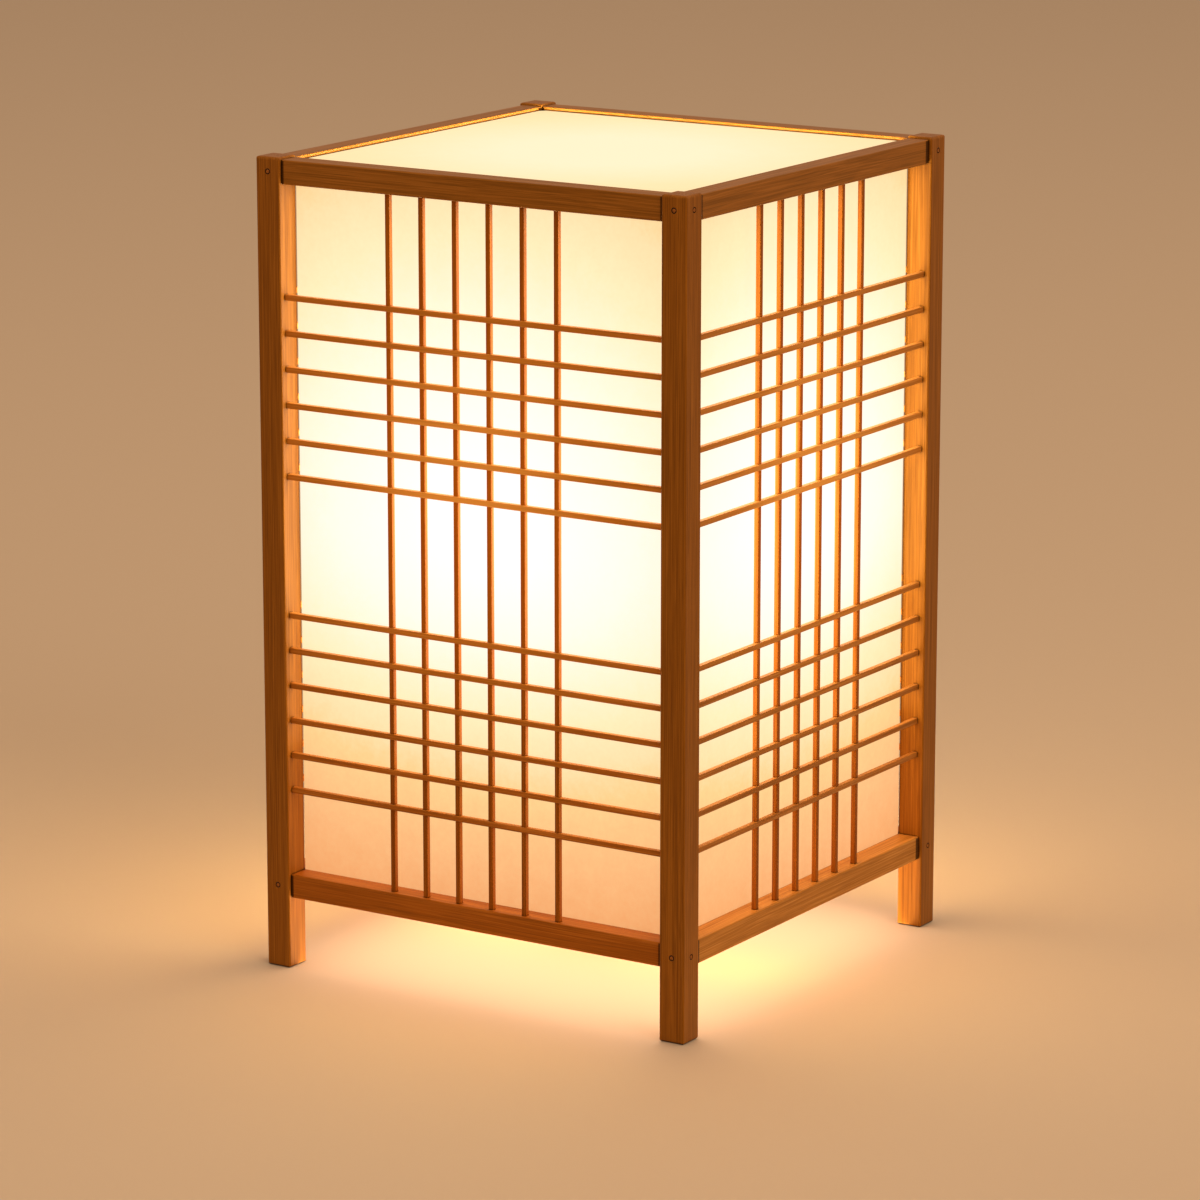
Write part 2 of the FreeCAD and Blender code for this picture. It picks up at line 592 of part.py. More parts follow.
def make_bulb_body():
    """Housing, diffuser, LED board and driver."""
    spigot = CAP_DIAMETER / 2 - CAP_WALL - JOINT_CLEARANCE
    spigot_bore = spigot - HOUSING_WALL
    neck = HOUSING_NECK_DIAMETER / 2
    neck_top = CAP_TOP + HOUSING_NECK_HEIGHT
    rim = HOUSING_RIM_DIAMETER / 2
    rim_base = DIFFUSER_RIM - HOUSING_RIM_HEIGHT
    seat = DIFFUSER_RIM - LED_BOARD_SEAT
    rim_bore = rim - HOUSING_WALL
    seat_bore = rim_bore - LED_LEDGE
    ledge_base = seat - LED_LEDGE
    save("bulb_housing", raised(spun([
        (spigot, CAP_TOP - HOUSING_SPIGOT_LENGTH), (spigot, CAP_TOP), (neck, CAP_TOP), (neck, neck_top),
        (rim, rim_base), (rim, DIFFUSER_RIM), (rim_bore, DIFFUSER_RIM), (rim_bore, seat), (seat_bore, seat),
        (seat_bore, ledge_base), (neck - HOUSING_WALL, neck_top), (spigot_bore, CAP_TOP),
        (spigot_bore, CAP_TOP - HOUSING_SPIGOT_LENGTH)])))

    globe = GLOBE_DIAMETER / 2
    middle = BULB_LENGTH - globe
    inside = globe - DIFFUSER_WALL
    slant = math.sqrt(0.5)
    save("bulb_diffuser", raised(spun([
        (rim - DIFFUSER_WALL, DIFFUSER_RIM), (rim, DIFFUSER_RIM), (globe, middle),
        (globe * slant, middle + globe * slant, "arc"), (0, BULB_LENGTH), (0, BULB_LENGTH - DIFFUSER_WALL),
        (inside * slant, middle + inside * slant, "arc"), (inside, middle)])))

    board = rod(rim_bore - DRIVER_BOARD_GAP, LED_BOARD_THICKNESS, (0, 0, seat))
    save("bulb_led_board", raised(board))
    chips = []
    chip_x = LED_RING_DIAMETER / 2
    chip_base = seat + LED_BOARD_THICKNESS
    for i in range(LED_COUNT):
        chip = block(
            chip_x - LED_LENGTH / 2, chip_x + LED_LENGTH / 2, -LED_WIDTH / 2, LED_WIDTH / 2,
            chip_base, chip_base + LED_THICKNESS)
        chip.rotate(ORIGIN, UP, 360.0 * i / LED_COUNT)
        chips.append(raised(chip))
    save("bulb_leds", *chips)

    half = spigot_bore - DRIVER_BOARD_GAP
    face = DRIVER_BOARD_THICKNESS / 2
    half_width = math.sqrt(half ** 2 - face ** 2)
    save("bulb_driver_board", raised(block(
        -half_width, half_width, -face, face, DRIVER_BOARD_START, DRIVER_BOARD_START + DRIVER_BOARD_HEIGHT)))
    capacitor_y = face + CAPACITOR_DIAMETER / 2 + CAPACITOR_GAP
    capacitor = rod(CAPACITOR_DIAMETER / 2, CAPACITOR_LENGTH, (0, capacitor_y, DRIVER_PARTS_START))
    coil = block(
        -COIL_WIDTH / 2, COIL_WIDTH / 2, -face - COIL_DEPTH, -face,
        DRIVER_PARTS_START, DRIVER_PARTS_START + COIL_HEIGHT)
    save("bulb_driver_parts", raised(capacitor), raised(coil))


os.makedirs("parts", exist_ok=True)
make_posts()
make_pegs()
make_rails()
make_lattice()
make_sheets()
make_cross_bar()
make_nipple()
make_holder()
make_bulb_base()
make_bulb_body()
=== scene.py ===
"""Looks of the square bamboo lantern lamp, lit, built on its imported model.

Metres, +Z up. The front face looks along -Y and the right face along +X.
"""
import json
import math

import bmesh
import bpy
from mathutils import Matrix, Vector


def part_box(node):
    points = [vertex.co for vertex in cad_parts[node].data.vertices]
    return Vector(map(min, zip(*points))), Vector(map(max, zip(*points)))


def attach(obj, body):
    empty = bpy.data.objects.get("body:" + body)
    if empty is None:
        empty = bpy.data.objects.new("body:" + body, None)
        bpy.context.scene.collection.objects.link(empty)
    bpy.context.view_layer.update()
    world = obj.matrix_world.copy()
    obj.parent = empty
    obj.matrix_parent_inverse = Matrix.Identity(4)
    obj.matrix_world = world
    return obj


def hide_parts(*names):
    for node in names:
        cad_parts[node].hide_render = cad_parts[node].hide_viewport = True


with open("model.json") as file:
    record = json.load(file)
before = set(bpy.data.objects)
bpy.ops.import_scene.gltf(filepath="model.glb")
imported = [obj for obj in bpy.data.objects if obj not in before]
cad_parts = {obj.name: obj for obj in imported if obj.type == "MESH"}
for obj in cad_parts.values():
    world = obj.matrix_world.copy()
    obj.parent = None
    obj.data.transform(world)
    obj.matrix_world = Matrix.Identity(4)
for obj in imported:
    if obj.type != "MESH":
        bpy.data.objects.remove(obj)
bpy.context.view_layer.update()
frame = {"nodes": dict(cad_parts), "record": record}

MM = 0.001

# Camera
CAMERA_PLACE = Vector((824.4, -1289.9, 465.2)) * MM
CAMERA_TURN = 32.645          # degrees, from the front towards the right
CAMERA_TILT = 13.079          # degrees downwards
FOCAL_LENGTH = 153.7          # mm
SENSOR_WIDTH = 36.0           # mm
CLIP_NEAR = 0.05              # metres
CLIP_FAR = 50.0

# Stage
FLOOR_RADIUS = 6.0
FLOOR_SIDES = 96
FLOOR_COLOUR = "#BAA793"
FLOOR_ROUGHNESS = 0.75
BACKDROP_COLOUR = "#CCB093"
SOFTBOX_TARGET = Vector((0, 0, 0.12))
# Place and side in metres, power in watts and colour of the square studio lights
SOFTBOXES = {
    "right": (Vector((2.2, -0.9, 1.5)), 1.6, 30, "#FFE6C6"),
    "left": (Vector((-1.2, -2.4, 1.2)), 1.4, 4.5, "#FFE2C0"),
    "above": (Vector((0.2, 0.3, 2.6)), 2.4, 26, "#FFDDB4"),
}

# Glow of the bulb on the sheets
GLOW_HEIGHT = 143 * MM        # the brightest height on the side sheets
GLOW_STRETCH_ABOVE = 1.05     # how much faster the glow fades upwards than sideways
GLOW_STRETCH_BELOW = 1.6      # and downwards, where the bulb's own housing shades it
GLOW_GAP = 0.15 * MM          # between a sheet and the light that stands for it
GLOW_INSET = 2 * MM           # by which that light is narrower than the sheet
# Bottom, top, power in watts and colour of the bands in which a sheet lights the wood in front of it
GLOW_BANDS = {
    "low": (30 * MM, 70 * MM, 0.036, "#FFC27C"),
    "middle": (70 * MM, 110 * MM, 0.10, "#FFE2B0"),
    "high": (110 * MM, 241 * MM, 0.435, "#FFF2D2"),
}
SPILL_BAND = (25 * MM, 100 * MM)   # bottom and top of the part of a sheet that lights the floor
SPILL_COLOUR = "#FFD084"
# Watts; more behind the lamp, where the glow on the floor is wider
SPILL_POWER = {"front": 0.14, "right": 0.13, "back": 0.36, "left": 0.36}
# Watts and colour of the light from the top sheet, from the lit floor and down through the open bottom
TOP_LIGHT = (1.9, "#FFF6DC")
FLOOR_LIGHT = (0.72, "#FFE0AC")
UNDER_LIGHT = (0.145, "#FFE6C4")
FLOOR_LIGHT_SIDE = 142 * MM
FLOOR_LIGHT_HEIGHT = 0.4 * MM
UNDER_LIGHT_SIDE = 146 * MM

# Painted light: a glow on the thin slats, for the lit sheet's light through and onto their backs
SLAT_GLOW_DEPTH = 1.3 * MM    # from the back of a slat to where the glow has faded
SLAT_GLOW_FRONT = 0.3         # share of it left there
# Its colours by the start of a slat's name, from none, through the glow at its front, to that at its back
SLAT_GLOW = {
    "upright_slats": ((0.0, "#000000"), (0.3, "#793000"), (0.65, "#A8742A"), (1.0, "#E2B85E")),
    "cross_slats": (
        (0.0, "#000000"), (0.18, "#6C3C0D"), (0.3, "#A96926"), (0.65, "#B88238"), (1.0, "#E2B85E")),
}
SLAT_GLOW_HEIGHT = 158 * MM         # the brightest height on the slats
SLAT_GLOW_NEARNESS = (0.60, 0.98)   # nearness to the bulb at which it starts and is full

# Pegs
PEG_SIDES = 28
PEG_LENGTH = 3.2 * MM
PEG_RIM = 0.28 * MM           # width of the dark joint line round a peg end
PEG_RIM_DEPTH = 0.15 * MM

# Screw threads
THREAD_STEPS = 72             # facets in a turn
THREAD_SPARE = 2              # turns wound past each end and then cut off
ROLLED_POINTS = 12            # points along one wave of a thread rolled in sheet metal
BULB_PITCH = 14.514 / 4 * MM  # the bulb rises 14.514 mm in its four turns
BULB_THREAD = (12.15 * MM, 13.1 * MM)   # radii of the hollows and ridges of the cap's thread
BULB_THREAD_GAP = 0.35 * MM   # from the cap's thread out to the holder's
CAP_WALL = 0.3 * MM
CAP_MOUTH = 12.0 * MM         # radius of the cap's lower edge
CAP_THREAD = (68.2 * MM, 84.5 * MM)     # bottom and top
CAP_COLLAR = 85.6 * MM        # where the plain collar above the thread starts
SHELL_WALL = 0.4 * MM
SHELL_THREAD = (61.5 * MM, 80.5 * MM)
NIPPLE_BORE = 3.7 * MM
NIPPLE_PITCH = 1.0 * MM
NIPPLE_THREAD_DEPTH = 0.61 * MM
NIPPLE_CHAMFER = 0.7 * MM
CUT_FLAT = 0.125              # share of the pitch that is flat at the root and at the crest of a cut thread
WELD = 0.001 * MM             # points closer than this are one
CREASE = math.radians(40)     # edges sharper than this are shaded sharp

FACES = ("front", "right", "back", "left")
CORNERS = ("front_left", "front_right", "back_right", "back_left")

# Bamboo tones, dark fibre to light fibre, by the start of a piece's name
# The right face's slats are paler: painted light, for the studio light from the right on them
RIGHT_SLAT_PAINTED_LIGHT_TONES = ("#86511A", "#995E24", "#A96E31")
INNER_TONES = ("#9A6A38", "#B98850", "#CFA269")
TONES = {
    "post": ("#6E3F0E", "#804C12", "#925A1B"),
    "rail_top": ("#714512", "#845118", "#975F23"),
    # The bottom rails are paler than the top ones, the right one most: painted light from the lit floor
    # below and the studio light from the right
    "rail_bottom_right": ("#8E5A20", "#A46B29", "#BA803A"),
    "rail_bottom": ("#7F450E", "#925011", "#A6601D"),
    "upright_slats": ("#733A09", "#84470C", "#955413"),
    "cross_slats_upper_right": RIGHT_SLAT_PAINTED_LIGHT_TONES,
    "cross_slats_lower_right": RIGHT_SLAT_PAINTED_LIGHT_TONES,
    "cross_slats": ("#8C4F14", "#A05D1D", "#B16D29"),
    "corner_blocks": INNER_TONES,
    "cross_bar": INNER_TONES,
}

# Bamboo grain; widths, lengths and sways are in mm
FIBRE_WIDTH = 0.4
# Width, length and detail of the streaks in the grain
STREAKS = {
    "fibre": (FIBRE_WIDTH, 40, 3.0),
    "strip": (3.0, 200, 1.0),
    "hairline": (FIBRE_WIDTH * 1.3, 16, 1.0),
}
STREAK_ROUGHNESS = 0.6        # of the noise that makes them
FIBRE_SHARE = 0.8             # of the fibres in the tone of the wood
STRIP_SHARE = 0.2             # and of the strips
TONE_STOPS = (0.36, 0.50, 0.64)   # where the dark, middle and light tones lie between all dark and all light
HAIRLINE_RANGE = (0.58, 0.74)     # of the noise, where a hairline starts and is full
HAIRLINE_DEPTH = 0.8          # share of the dark tone in a hairline
FIBRE_SWAY = 0.5              # by which the fibres stray from straight
RAIL_SWAY = 1.6               # and in the rails
SWAY_SIZE = (12, 60)          # of one bend, across and along the fibre

# Lacquer on the bamboo
LACQUER_ROUGHNESS = (0.52, 0.42)  # between the fibres and on them
LACQUER_SPECULAR = 0.4
LACQUER_TINT = "#C88A45"
FIBRE_RELIEF = 0.05 * MM
FIBRE_RELIEF_STRENGTH = 0.3

# Painted shade: dark lines in the joints of the bamboo, where nearby pieces close a spot in
JOINT_SHADE_COLOUR = "#160701"      # painted shade in the joints
JOINT_REACH = 0.9 * MM        # how far a joint is felt
JOINT_SAMPLES = 8
JOINT_OPENNESS = (0.42, 0.70)     # up to the first a spot lies in a joint, from the second it is clear of it
JOINT_SHADE_DEPTH = 0.92            # share of the dark colour in a joint
# Width in mm of the painted shade at a rail's ends, a dark line for the shadow in the gap at the post, by
# the axis it runs along. A real one is about 0.3 mm wide; these reach past the edges of the posts, which
# would hide it.
RAIL_END_SHADE_WIDTH = {"X": 1.1, "Y": 2.0}
RAIL_END_SHADE_FADE = 0.3         # mm over which it starts
RAIL_END_SHADE_DEPTH = 0.85
# Upward part of a face's normal, up to which the face counts as upright and from which as level
UPRIGHT_FACING = (0.3, 0.6)

# Gloss and relief
TEXTURE_RANGE = (0.3, 0.7)    # of a noise, between which the gloss changes
RELIEF_STRENGTH = 0.5

# Cloud and pulp grain of the sheets
CLOUD_SIZE = 6 * MM
CLOUD_SHARE = 0.03            # by which it changes the nearness to the bulb
PULP_SIZE = 1.2 * MM
PULP_SHARE = 0.036
PULP_RELIEF = 0.03 * MM
PULP_RELIEF_STRENGTH = 0.2
SHEET_COLOUR = "#6E5A40"      # unlit
SHEET_ROUGHNESS = 0.6

# Colours of the lit sheets by nearness to the bulb, far to near
SIDE_GLOW = (
    (0.350, "#E69D63"), (0.405, "#EFB178"), (0.495, "#F5CD8D"), (0.545, "#F8DDAA"), (0.615, "#FAEABC"),
    (0.715, "#FBF4D8"), (0.815, "#FCF9EC"), (1.0, "#FFFFFF"))
TOP_GLOW = ((0.755, "#EED29C"), (0.875, "#F2DCAC"), (1.0, "#F6E6C4"))


def linear(code):
    """An sRGB hex colour as linear red, green, blue and alpha."""
    channels = [int(code[i:i + 2], 16) / 255 for i in (1, 3, 5)]
    return [c / 12.92 if c <= 0.04045 else ((c + 0.055) / 1.055) ** 2.4 for c in channels] + [1.0]


def add(tree, kind, inputs=None, **settings):
    """Add a shader node. Settings are its properties; inputs are its sockets, each a value or an output."""
    made = tree.nodes.new("ShaderNode" + kind)
    for name, value in settings.items():
        setattr(made, name, value)
    for socket, value in (inputs or {}).items():
        if isinstance(value, bpy.types.NodeSocket):
            tree.links.new(value, made.inputs[socket])
        else:
            made.inputs[socket].default_value = value
    return made


def set_ramp(ramp, stops):
    """Give a colour ramp its (position, hex colour) stops."""
    elements = ramp.color_ramp.elements
    while len(elements) < len(stops):
        elements.new(1.0)
    for element, (position, code) in zip(elements, stops):
        element.position = position
        element.color = linear(code)


def new_material(name):
    """An empty material with its shader: the material, its node tree and the shader's inputs."""
    material = bpy.data.materials.new(name)
    material.use_nodes = True
    tree = material.node_tree
    return material, tree, tree.nodes["Principled BSDF"].inputs


def surface(tree, shader, tint, stops, texture, gloss, relief_mm):
    """Colour a surface by one pattern, and give it gloss and relief by another.

    stops are the (position, hex colour) stops for the tint, and gloss the roughness where the texture is low
    and where it is high.
    """
    ramp = add(tree, "ValToRGB", {"Fac": tint})
    set_ramp(ramp, stops)
    tree.links.new(ramp.outputs["Color"], shader["Base Color"])
    rough = add(tree, "MapRange", {
        "Value": texture, "From Min": TEXTURE_RANGE[0], "From Max": TEXTURE_RANGE[1],
        "To Min": gloss[0], "To Max": gloss[1]})
    tree.links.new(rough.outputs["Result"], shader["Roughness"])
    bump = add(tree, "Bump", {
        "Height": texture, "Strength": RELIEF_STRENGTH, "Distance": relief_mm * MM})
    tree.links.new(bump.outputs["Normal"], shader["Normal"])


def stretch(along, across_mm, along_mm):
    """Pattern scales for streaks of a real width and length that run along one axis."""
    scales = [1 / (across_mm * MM)] * 3
    scales["XYZ".index(along)] = 1 / (along_mm * MM)
    return scales


def rail_end_shade(tree, place, along):
    """How far a spot on a rail lies in the painted shade line at the rail's end, on its upright faces."""
    spot = add(tree, "SeparateXYZ", {"Vector": place}).outputs[along]
    from_middle = add(tree, "Math", {0: spot}, operation="ABSOLUTE").outputs[0]
    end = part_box("post_front_right")[0].x
    near = add(tree, "MapRange", {
        "Value": from_middle, "From Min": end - RAIL_END_SHADE_WIDTH[along] * MM,
        "From Max": end - (RAIL_END_SHADE_WIDTH[along] - RAIL_END_SHADE_FADE) * MM})
    facing = add(tree, "SeparateXYZ", {"Vector": add(tree, "NewGeometry").outputs["Normal"]}).outputs["Z"]
    upright = add(tree, "MapRange", {
        "Value": add(tree, "Math", {0: facing}, operation="ABSOLUTE").outputs[0],
        "From Min": UPRIGHT_FACING[0], "From Max": UPRIGHT_FACING[1],
        "To Min": RAIL_END_SHADE_DEPTH, "To Max": 0.0})
    return add(tree, "Math", {
        0: near.outputs["Result"], 1: upright.outputs["Result"]}, operation="MULTIPLY").outputs[0]


def nearness_to_bulb(tree, place, distance, height, fade_below):
    """How near a spot is to the bulb's glow at a height, 1 at a distance from it.

    fade_below says how much faster the glow fades downwards than sideways.
    """
    parts = add(tree, "SeparateXYZ", {"Vector": place})
    rise = add(tree, "Math", {0: parts.outputs["Z"], 1: height}, operation="SUBTRACT").outputs[0]
    above = add(tree, "Math", {0: rise, 1: GLOW_STRETCH_ABOVE}, operation="MULTIPLY").outputs[0]
    below = add(tree, "Math", {0: rise, 1: -fade_below}, operation="MULTIPLY").outputs[0]
    lift = add(tree, "Math", {0: above, 1: below}, operation="MAXIMUM").outputs[0]
    spread = add(tree, "CombineXYZ", {"X": parts.outputs["X"], "Y": parts.outputs["Y"], "Z": lift})
    away = add(tree, "VectorMath", {0: spread.outputs["Vector"]}, operation="LENGTH").outputs["Value"]
    return add(tree, "Math", {0: distance, 1: away}, operation="DIVIDE").outputs[0]


def light_through(tree, shader, place, glow):
    """Paint the lit sheet's light onto a slat as a glow from behind, most near the bulb, in a glow's
    colours.
    """
    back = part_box("upright_slats_right")[0].x
    parts = add(tree, "SeparateXYZ", {"Vector": place})
    off_axis = [
        add(tree, "Math", {0: parts.outputs[axis]}, operation="ABSOLUTE").outputs[0] for axis in "XY"]
    outwards = add(tree, "Math", {0: off_axis[0], 1: off_axis[1]}, operation="MAXIMUM").outputs[0]
    behind = add(tree, "MapRange", {
        "Value": outwards, "From Min": back, "From Max": back + SLAT_GLOW_DEPTH, "To Min": 1.0,
        "To Max": SLAT_GLOW_FRONT}).outputs["Result"]
    near = add(tree, "MapRange", {
        "Value": nearness_to_bulb(tree, place, back, SLAT_GLOW_HEIGHT, GLOW_STRETCH_ABOVE),
        "From Min": SLAT_GLOW_NEARNESS[0], "From Max": SLAT_GLOW_NEARNESS[1]}).outputs["Result"]
    ramp = add(tree, "ValToRGB", {
        "Fac": add(tree, "Math", {0: behind, 1: near}, operation="MULTIPLY").outputs[0]})
    set_ramp(ramp, glow)
    tree.links.new(ramp.outputs["Color"], shader["Emission Color"])
    shader["Emission Strength"].default_value = 1.0


def carbonised_bamboo(name, along, tones, is_rail, glow):
    """Bamboo strips steamed brown, planed along the fibre and given a thin satin lacquer.

    To the eye: fine straight fibres, short dark hairlines where fibre bundles were cut, strips of slightly
    different brown and a sheen that shows at a low angle; dark lines of painted shade lie in the joints.
    Real fibres are about 0.2 mm wide; here they are as wide as the view can show.

    glow is for slats: the (position, hex colour) stops of the light painted on them from the sheet behind.
    """
    material, tree, shader = new_material(name)
    place = add(tree, "TexCoord").outputs["Object"]
    bends = add(tree, "Mapping", {"Vector": place, "Scale": stretch(along, *SWAY_SIZE)}).outputs["Vector"]
    sway = add(tree, "TexNoise", {"Vector": bends, "Scale": 1.0, "Detail": 1.0}).outputs["Color"]
    sway_mm = RAIL_SWAY if is_rail else FIBRE_SWAY
    swayed = add(tree, "VectorMath", {
        0: sway, 1: [sway_mm * MM] * 3, 2: place}, operation="MULTIPLY_ADD").outputs["Vector"]
    streaks = {}
    for streak, (across_mm, along_mm, detail) in STREAKS.items():
        spot = add(tree, "Mapping", {"Vector": swayed, "Scale": stretch(along, across_mm, along_mm)})
        streaks[streak] = add(tree, "TexNoise", {
            "Vector": spot.outputs["Vector"], "Scale": 1.0, "Detail": detail,
            "Roughness": STREAK_ROUGHNESS}).outputs["Fac"]

    fibres = add(tree, "Math", {0: streaks["fibre"], 1: FIBRE_SHARE}, operation="MULTIPLY").outputs[0]
    grain = add(tree, "Math", {
        0: streaks["strip"], 1: STRIP_SHARE, 2: fibres}, operation="MULTIPLY_ADD").outputs[0]
    ramp = add(tree, "ValToRGB", {"Fac": grain})
    set_ramp(ramp, list(zip(TONE_STOPS, tones)))
    cut = add(tree, "MapRange", {
        "Value": streaks["hairline"], "From Min": HAIRLINE_RANGE[0], "From Max": HAIRLINE_RANGE[1],
        "To Min": 0.0, "To Max": HAIRLINE_DEPTH})
    wood = add(tree, "Mix", {
        "Factor": cut.outputs["Result"], "A": ramp.outputs["Color"], "B": linear(tones[0])},
        data_type="RGBA")
    # Painted shade: the joint colour is mixed in where ambient occlusion finds a spot closed in
    openness = add(tree, "AmbientOcclusion", {"Distance": JOINT_REACH}, samples=JOINT_SAMPLES).outputs["AO"]
    joint_shade = add(tree, "MapRange", {
        "Value": openness, "From Min": JOINT_OPENNESS[0], "From Max": JOINT_OPENNESS[1],
        "To Min": JOINT_SHADE_DEPTH, "To Max": 0.0}).outputs["Result"]
    # Painted shade: a dark line at each end of a rail, on its upright faces
    if is_rail:
        joint_shade = add(tree, "Math", {
            0: joint_shade, 1: rail_end_shade(tree, place, along)}, operation="MAXIMUM").outputs[0]
    colour = add(tree, "Mix", {
        "Factor": joint_shade, "A": wood.outputs["Result"], "B": linear(JOINT_SHADE_COLOUR)},
        data_type="RGBA")
    tree.links.new(colour.outputs["Result"], shader["Base Color"])

    sheen = add(tree, "MapRange", {
        "Value": streaks["fibre"], "From Min": TEXTURE_RANGE[0], "From Max": TEXTURE_RANGE[1],
        "To Min": LACQUER_ROUGHNESS[0], "To Max": LACQUER_ROUGHNESS[1]})
    tree.links.new(sheen.outputs["Result"], shader["Roughness"])
    relief = add(tree, "Bump", {
        "Height": streaks["fibre"], "Strength": FIBRE_RELIEF_STRENGTH, "Distance": FIBRE_RELIEF})
    tree.links.new(relief.outputs["Normal"], shader["Normal"])
    shader["Specular IOR Level"].default_value = LACQUER_SPECULAR
    shader["Specular Tint"].default_value = linear(LACQUER_TINT)
    if glow:
        light_through(tree, shader, place, glow)
    return material


def bamboo_end_grain():
    """Bamboo cut across the fibre and sanded flush.

    To the eye: a brown dot, matt, with the cut fibre bundles as darker specks.
    """
    material, tree, shader = new_material("bamboo_end_grain")
    place = add(tree, "TexCoord").outputs["Object"]
    bundles = add(tree, "TexVoronoi", {"Vector": place, "Scale": 1 / (0.35 * MM)}).outputs["Distance"]
    stops = ((0.1, "#5E300A"), (0.45, "#80470E"), (0.8, "#9A5C1C"))
    surface(tree, shader, bundles, stops, bundles, (0.6, 0.5), 0.03)
    shader["Specular IOR Level"].default_value = 0.2
    return material


def joint_line():
    """The line round a peg: near black, half matt and uneven."""
    material, tree, shader = new_material("joint_line")
    place = add(tree, "TexCoord").outputs["Object"]
    dust = add(tree, "TexNoise", {"Vector": place, "Scale": 1 / (0.4 * MM)}).outputs["Fac"]
    surface(tree, shader, dust, ((0.3, "#120500"), (0.7, "#2A1103")), dust, (0.6, 0.8), 0.02)
    shader["Specular IOR Level"].default_value = 0.2
    return material


def glowing_sheet(name, stops, distance):
    """Thin translucent paper laminate, matt on both sides, lit from behind by the bulb.

    To the eye: an even glow, white in front of the bulb, cream towards the edges and peach where the bulb's
    housing shades it, with a faint cloud and grain of pulp. The grain is drawn about three times its real
    size, so that it shows.
    """
    material, tree, shader = new_material(name)
    place = add(tree, "TexCoord").outputs["Object"]
    nearness = nearness_to_bulb(tree, place, distance, GLOW_HEIGHT, GLOW_STRETCH_BELOW)
    cloud = add(tree, "TexNoise", {"Vector": place, "Scale": 1 / CLOUD_SIZE, "Detail": 2.0}).outputs["Fac"]
    pulp = add(tree, "TexNoise", {"Vector": place, "Scale": 1 / PULP_SIZE, "Detail": 2.0}).outputs["Fac"]
    clouded = add(tree, "Math", {0: cloud, 1: CLOUD_SHARE, 2: nearness}, operation="MULTIPLY_ADD").outputs[0]
    grained = add(tree, "Math", {0: pulp, 1: PULP_SHARE, 2: clouded}, operation="MULTIPLY_ADD").outputs[0]
    ramp = add(tree, "ValToRGB", {"Fac": grained})
    set_ramp(ramp, stops)
    tree.links.new(ramp.outputs["Color"], shader["Emission Color"])
    shader["Emission Strength"].default_value = 1.0
    shader["Base Color"].default_value = linear(SHEET_COLOUR)
    shader["Roughness"].default_value = SHEET_ROUGHNESS
    relief = add(tree, "Bump", {
        "Height": pulp, "Strength": PULP_RELIEF_STRENGTH, "Distance": PULP_RELIEF})
    tree.links.new(relief.outputs["Normal"], shader["Normal"])
    return material


def zinc_plated_steel():
    """Steel, pressed and turned, then zinc plated.

    To the eye: a half-bright grey metal with a faint blue and yellow cloud and a fine grit.
    """
    material, tree, shader = new_material("zinc_plated_steel")
    place = add(tree, "TexCoord").outputs["Object"]
    cloud = add(tree, "TexNoise", {"Vector": place, "Scale": 1 / (4 * MM), "Detail": 2.0}).outputs["Fac"]
    grit = add(tree, "TexNoise", {"Vector": place, "Scale": 1 / (0.3 * MM)}).outputs["Fac"]
    stops = ((0.35, "#B2B8C2"), (0.5, "#C1C0BB"), (0.65, "#CBC2AA"))
    surface(tree, shader, cloud, stops, grit, (0.26, 0.42), 0.02)
    shader["Metallic"].default_value = 1.0
    return material


def pressed_brass():
    """Brass strip, drawn and pressed.

    To the eye: yellow metal, bright, with brown tarnish in soft patches and fine scratches.
    """
    material, tree, shader = new_material("pressed_brass")
    place = add(tree, "TexCoord").outputs["Object"]
    tarnish = add(tree, "TexNoise", {"Vector": place, "Scale": 1 / (5 * MM), "Detail": 3.0}).outputs["Fac"]
    drawn = add(tree, "Mapping", {"Vector": place, "Scale": stretch("Z", 0.25, 6)}).outputs["Vector"]
    scratches = add(tree, "TexNoise", {"Vector": drawn, "Scale": 1.0, "Detail": 2.0}).outputs["Fac"]
    stops = ((0.3, "#A8793A"), (0.5, "#CFA050"), (0.7, "#DDB768"))
    surface(tree, shader, tarnish, stops, scratches, (0.2, 0.34), 0.01)
    shader["Metallic"].default_value = 1.0
    return material


def nickel_plate():
    """Brass sheet, rolled into a cap and nickel plated.

    To the eye: warm silver, nearly mirror bright, with faint level rings left by the rolling.
    """
    material, tree, shader = new_material("nickel_plate")
    place = add(tree, "TexCoord").outputs["Object"]
    rolled = add(tree, "Mapping", {"Vector": place, "Scale": stretch("Z", 40, 0.3)}).outputs["Vector"]
    rings = add(tree, "TexNoise", {"Vector": rolled, "Scale": 1.0, "Detail": 2.0}).outputs["Fac"]
    stain = add(tree, "TexNoise", {"Vector": place, "Scale": 1 / (7 * MM), "Detail": 2.0}).outputs["Fac"]
    stops = ((0.3, "#BFB8AB"), (0.5, "#CDC8BE"), (0.7, "#D8D4CB"))
    surface(tree, shader, stain, stops, rings, (0.14, 0.26), 0.01)
    shader["Metallic"].default_value = 1.0
    return material


def moulded_plastic(name, dark, light, gloss):
    """Plastic from a spark-eroded mould.

    To the eye: one colour with a slight flow cloud, and a fine even grain that breaks up the gloss.
    """
    material, tree, shader = new_material(name)
    place = add(tree, "TexCoord").outputs["Object"]
    flow = add(tree, "TexNoise", {"Vector": place, "Scale": 1 / (12 * MM), "Detail": 2.0}).outputs["Fac"]
    grain = add(tree, "TexNoise", {"Vector": place, "Scale": 1 / (0.35 * MM), "Detail": 2.0}).outputs["Fac"]
    surface(tree, shader, flow, ((0.3, dark), (0.7, light)), grain, gloss, 0.03)
    return material


